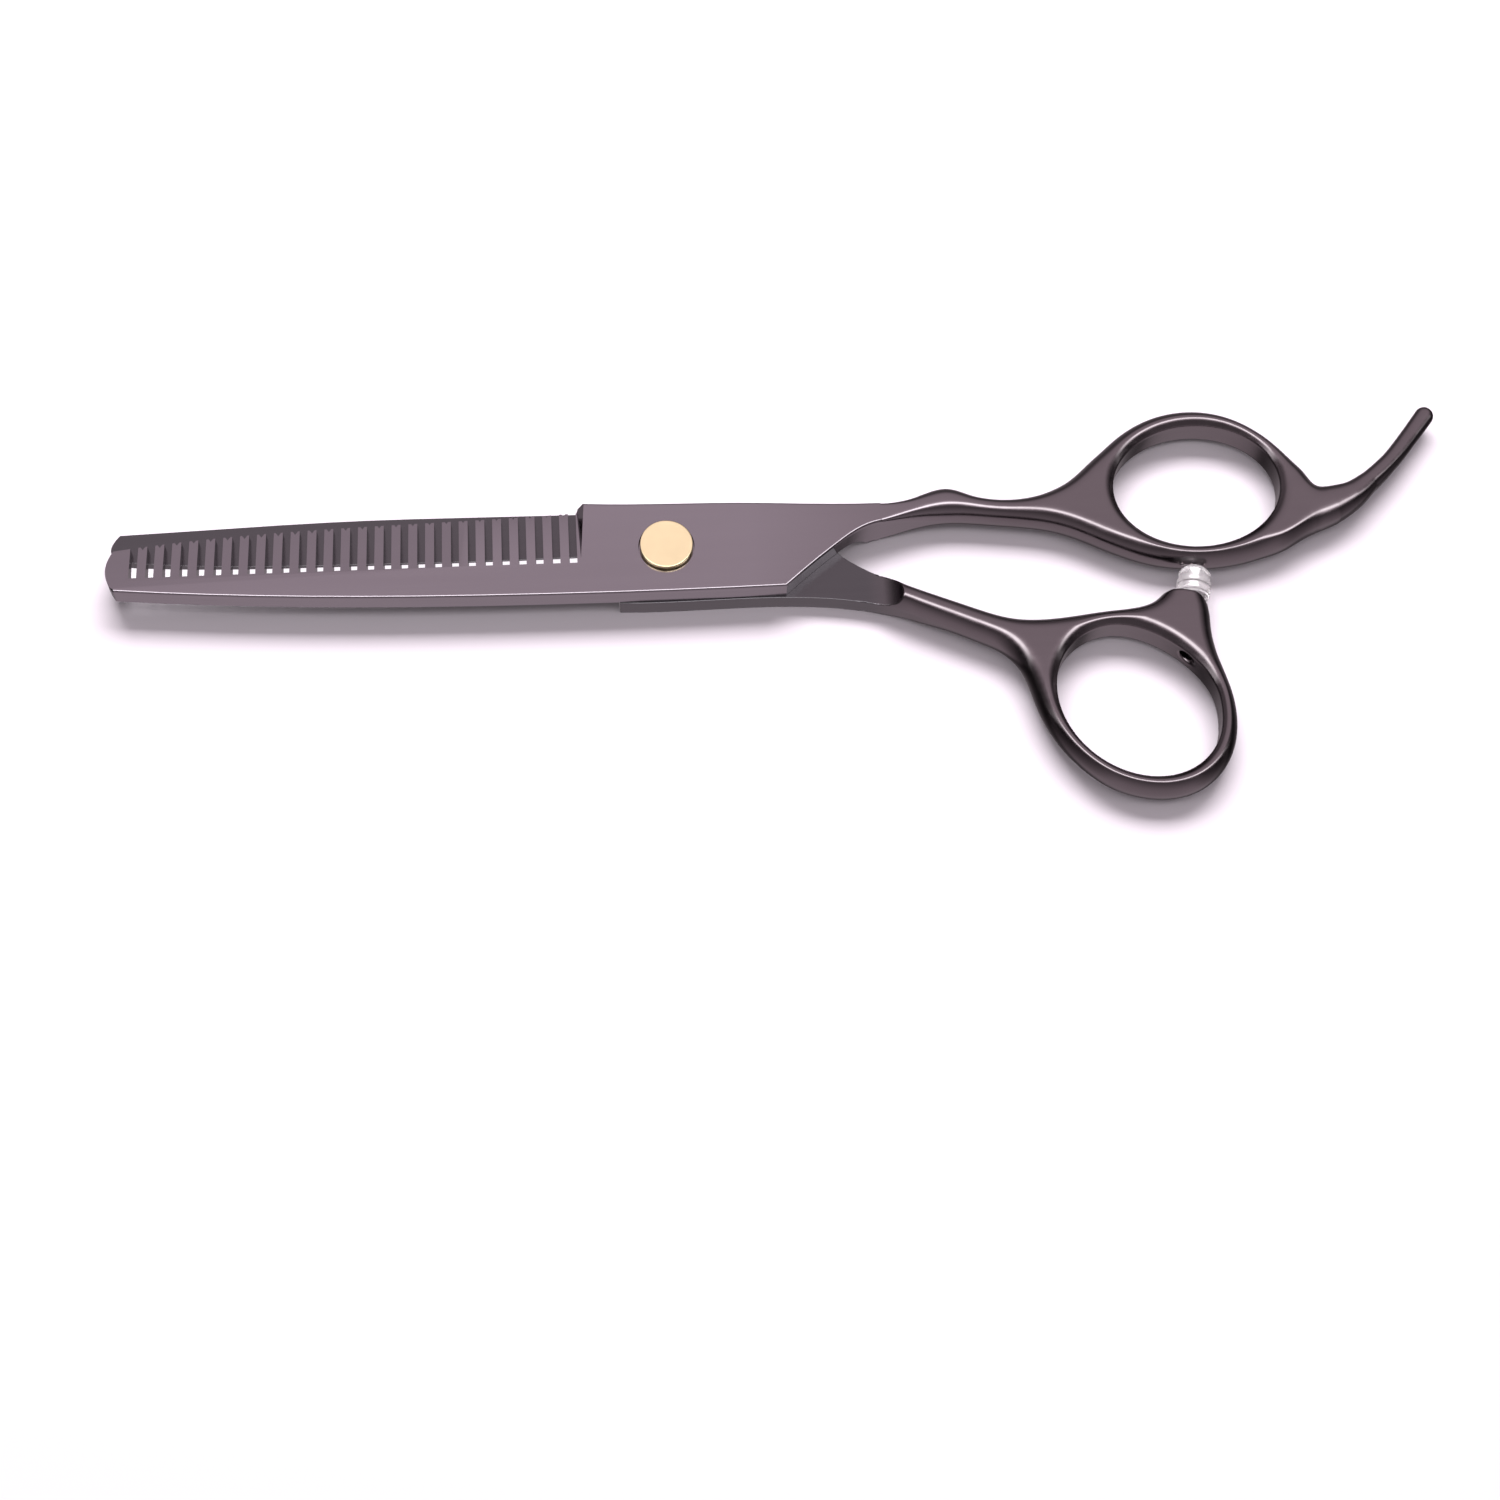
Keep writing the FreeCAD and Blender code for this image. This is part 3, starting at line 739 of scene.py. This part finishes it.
def coating(name, blade_tint, turn):
    """Dark coating over brushed steel: grey-violet blades that turn warmer along the shanks."""
    material, tree, surface = new_material(name)
    surface.inputs["Metallic"].default_value = 1.0
    where = tree.nodes.new("ShaderNodeTexCoord")
    split = tree.nodes.new("ShaderNodeSeparateXYZ")
    tree.links.new(where.outputs["Object"], split.inputs["Vector"])
    along = tree.nodes.new("ShaderNodeMapRange")
    along.inputs["From Min"].default_value = turn[0]
    along.inputs["From Max"].default_value = turn[1]
    tree.links.new(split.outputs["X"], along.inputs["Value"])
    tint = ramp(tree, along.outputs["Result"], blade_tint, HANDLE_TINT, 0.0, 1.0)
    broad = stretched_noise(tree, 60.0, (0.2, 1.0, 1.0), 3.0)
    shade = ramp(tree, broad.outputs["Fac"], grey(0.92), grey(1.0))
    colour = tree.nodes.new("ShaderNodeMix")
    colour.data_type = "RGBA"
    colour.blend_type = "MULTIPLY"
    colour.inputs["Factor"].default_value = 1.0
    tree.links.new(tint.outputs["Color"], colour.inputs["A"])
    tree.links.new(shade.outputs["Color"], colour.inputs["B"])
    tree.links.new(colour.outputs["Result"], surface.inputs["Base Color"])
    fine = stretched_noise(tree, 900.0, (0.03, 1.6, 1.6), 6.0)
    shine = ramp(tree, fine.outputs["Fac"], grey(COAT_ROUGH - 0.04), grey(COAT_ROUGH + 0.05))
    tree.links.new(shine.outputs["Color"], surface.inputs["Roughness"])
    bump = tree.nodes.new("ShaderNodeBump")
    bump.inputs["Strength"].default_value = 0.12
    bump.inputs["Distance"].default_value = 0.00002
    tree.links.new(fine.outputs["Fac"], bump.inputs["Height"])
    tree.links.new(bump.outputs["Normal"], surface.inputs["Normal"])
    return material


def satin(name, colour, rough, metal):
    material, tree, surface = new_material(name)
    surface.inputs["Metallic"].default_value = metal
    noise = stretched_noise(tree, 400.0, (1.0, 1.0, 1.0), 3.0)
    low = tuple(c * 0.97 for c in colour) + (1.0,)
    high = tuple(min(1.0, c * 1.02) for c in colour) + (1.0,)
    tint = ramp(tree, noise.outputs["Fac"], low, high)
    tree.links.new(tint.outputs["Color"], surface.inputs["Base Color"])
    shine = ramp(tree, noise.outputs["Fac"], grey(rough * 0.95), grey(rough * 1.05))
    tree.links.new(shine.outputs["Color"], surface.inputs["Roughness"])
    return material


def silicone():
    material, tree, surface = new_material("silicone")
    noise = stretched_noise(tree, 300.0, (1.0, 1.0, 1.0), 2.0)
    shine = ramp(tree, noise.outputs["Fac"], grey(0.16), grey(0.3))
    tree.links.new(shine.outputs["Color"], surface.inputs["Roughness"])
    surface.inputs["Base Color"].default_value = (0.8, 0.765, 0.78, 1.0)
    surface.inputs["Transmission Weight"].default_value = 0.93
    surface.inputs["IOR"].default_value = 1.41
    return material


def paint(obj, material, slot_name):
    obj.data.materials.clear()
    obj.data.materials.append(material)


# ---- build -----------------------------------------------------------------------------------
coat = coating("coat", BLADE_TINT, COAT_TURN)
# the plain half's coat: its blade part is darkened as painted shade
painted_shade_coat = coating("painted_shade_coat", PAINTED_SHADE_TINT, PAINTED_SHADE_TURN)
gold = satin("gold", *GOLD)
steel = satin("steel", *STEEL)
brass = satin("brass", *BRASS)
polymer = satin("polymer", *POLYMER)
clear = silicone()

shape, fields = finger_shape()
finger = draw_surface("finger_handle_smooth", shape, fields, FINGER_WELD_X)
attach(finger, "comb_half")
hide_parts("finger_handle")
paint(finger, coat, "coated_handle")

shape, fields = thumb_shape()
thumb = draw_surface("thumb_handle_smooth", shape, fields, THUMB_START_X)
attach(thumb, "plain_half")
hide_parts("thumb_handle")
paint(thumb, painted_shade_coat, "coated_handle")

comb = make_comb()
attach(comb, "comb_half")
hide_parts("comb_blade")
paint(comb, coat, "coated_blade")

plain = make_plain()
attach(plain, "plain_half")
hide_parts("plain_blade")
# painted shade: the plain blade gets the darker coat
paint(plain, painted_shade_coat, "coated_blade")

disc = make_small("pivot_cap", "pivot_cap_plated", CAP_BREAK)
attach(disc, "comb_half")
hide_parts("pivot_cap")
paint(disc, gold, "gold_plate")

stop = make_small("bumper", "bumper_silicone", BUMPER_BREAK)
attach(stop, "plain_half")
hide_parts("bumper")
paint(stop, clear, "clear_silicone")

for node, material, slot_name in (
        ("tension_screw", steel, "screw_steel"), ("spring_washer", steel, "screw_steel"),
        ("head_washer", steel, "screw_steel"), ("pivot_bushing", brass, "bushing_brass"),
        ("ride_washer", polymer, "ride_polymer")):
    paint(frame["nodes"][node], material, slot_name)


# ---- floor, light, camera ----------------------------------------------------------------------
def flat_sheet(name, x0, x1, y0, y1, z):
    """Level rectangle of the stage, corners in metres."""
    mesh = bpy.data.meshes.new(name)
    mesh.from_pydata([(x0, y0, z), (x1, y0, z), (x1, y1, z), (x0, y1, z)], [], [(0, 1, 2, 3)])
    sheet = bpy.data.objects.new(name, mesh)
    bpy.context.scene.collection.objects.link(sheet)
    sheet.visible_glossy = False
    return sheet


def sheet_paper(name, colour, glow):
    """Pale matt paper that glows a little, as a backlit table does; with a strong glow it is the painted
    light under the gaps.
    """
    material, _, surface = new_material(name)
    surface.inputs["Base Color"].default_value = colour
    surface.inputs["Roughness"].default_value = 0.9
    surface.inputs["Specular IOR Level"].default_value = 0.0
    surface.inputs["Emission Color"].default_value = (0.93, 0.87, 0.93, 1.0)
    surface.inputs["Emission Strength"].default_value = glow
    return material


def make_floor():
    """Pale floor, and a glowing strip of painted light under the gaps between the teeth, where the floor
    lies in shade.
    """
    floor = flat_sheet("floor", -FLOOR_REACH, FLOOR_REACH, -FLOOR_REACH, FLOOR_REACH, FLOOR_Z)
    floor.data.materials.append(sheet_paper("floor_paper", FLOOR_TINT, FLOOR_GLOW))
    x0, x1 = ((x + PX) * MM for x in PAINTED_LIGHT_AREA[:2])
    y0, y1 = ((y + PY) * MM for y in PAINTED_LIGHT_AREA[2:])
    # painted light: the glowing strip under the gaps
    strip = flat_sheet("painted_light_under_gaps", x0, x1, y0, y1, PAINTED_LIGHT_Z)
    strip.data.materials.append(sheet_paper("painted_light_paper", PAINTED_LIGHT_TINT, PAINTED_LIGHT_GLOW))


def sky(level):
    """Lilac in the weak parts of the studio, white in the strong strip."""
    if level > 0.5:
        return grey(level)
    return (level * 1.07, level * 0.92, level, 1.0)


def math_node(tree, operation, first, second=None):
    """Maths node on a socket and, where it is given, a second socket or a number."""
    node = tree.nodes.new("ShaderNodeMath")
    node.operation = operation
    tree.links.new(first, node.inputs[0])
    if isinstance(second, float):
        node.inputs[1].default_value = second
    elif second is not None:
        tree.links.new(second, node.inputs[1])
    return node.outputs[0]


def map_range(tree, source, old, new):
    node = tree.nodes.new("ShaderNodeMapRange")
    node.inputs["From Min"].default_value, node.inputs["From Max"].default_value = old
    node.inputs["To Min"].default_value, node.inputs["To Max"].default_value = new
    tree.links.new(source, node.inputs["Value"])
    return node.outputs["Result"]


def sky_ramp(tree, source):
    """Colour of the sky at a share of the full circle."""
    node = tree.nodes.new("ShaderNodeValToRGB")
    elements = node.color_ramp.elements
    elements[0].color = sky(SKY_BANDS[0][1] / SKY_TOP)
    elements[1].color = sky(SKY_BANDS[-1][1] / SKY_TOP)
    for degrees, level in SKY_BANDS[1:-1]:
        elements.new((degrees + 180) / 360).color = sky(level / SKY_TOP)
    tree.links.new(source, node.inputs["Fac"])
    return node.outputs["Color"]


def make_world():
    """Studio light in bands about the X axis: a bright strip overhead, softer panels elsewhere."""
    world = bpy.data.worlds.new("studio")
    bpy.context.scene.world = world
    world.use_nodes = True
    tree = world.node_tree
    where = tree.nodes.new("ShaderNodeTexCoord")
    split = tree.nodes.new("ShaderNodeSeparateXYZ")
    tree.links.new(where.outputs["Generated"], split.inputs["Vector"])
    forward = math_node(tree, "MULTIPLY", split.outputs["Y"], -1.0)
    angle = math_node(tree, "ARCTAN2", forward, split.outputs["Z"])
    turn = map_range(tree, angle, (-math.pi, math.pi), (0.0, 1.0))
    aside = math_node(tree, "ABSOLUTE", split.outputs["X"])
    strength = map_range(tree, aside, SKY_FADE, (SKY_TOP, SKY_SIDE * SKY_TOP))
    background = tree.nodes["Background"]
    tree.links.new(sky_ramp(tree, turn), background.inputs["Color"])
    tree.links.new(strength, background.inputs["Strength"])


def make_key():
    data = bpy.data.lights.new("key", "AREA")
    data.shape = "RECTANGLE"
    data.size, data.size_y = KEY_SIZE
    data.energy = KEY_WATTS
    key = bpy.data.objects.new("key", data)
    bpy.context.scene.collection.objects.link(key)
    key.location = KEY_SPOT
    key.rotation_euler = (-KEY_SPOT).to_track_quat("-Z", "Y").to_euler()
    key.visible_glossy = False


def make_camera():
    data = bpy.data.cameras.new("camera")
    data.lens = CAMERA_LENS
    data.sensor_width = CAMERA_SENSOR
    data.clip_start = 0.01
    camera = bpy.data.objects.new("camera", data)
    bpy.context.scene.collection.objects.link(camera)
    lift = math.radians(CAMERA_LIFT)
    about_z = Matrix.Rotation(math.radians(CAMERA_TURN), 3, "Z")
    about_y = Matrix.Rotation(math.radians(CAMERA_ROLL), 3, "Y")
    turn = about_z @ about_y
    right = Vector((1, 0, 0))
    back = Vector((0, -math.cos(lift), math.sin(lift)))
    up = back.cross(right)
    axes = turn.transposed() @ Matrix((right, up, back)).transposed()
    spot = Vector(CAMERA_SPOT) * MM + Vector((PIVOT.x, PIVOT.y, 0))
    camera.matrix_world = Matrix.Translation(spot) @ axes.to_4x4()
    bpy.context.scene.camera = camera


make_floor()
make_world()
make_key()
make_camera()
scene = bpy.context.scene
scene.view_settings.view_transform = "Standard"
scene.view_settings.look = "None"
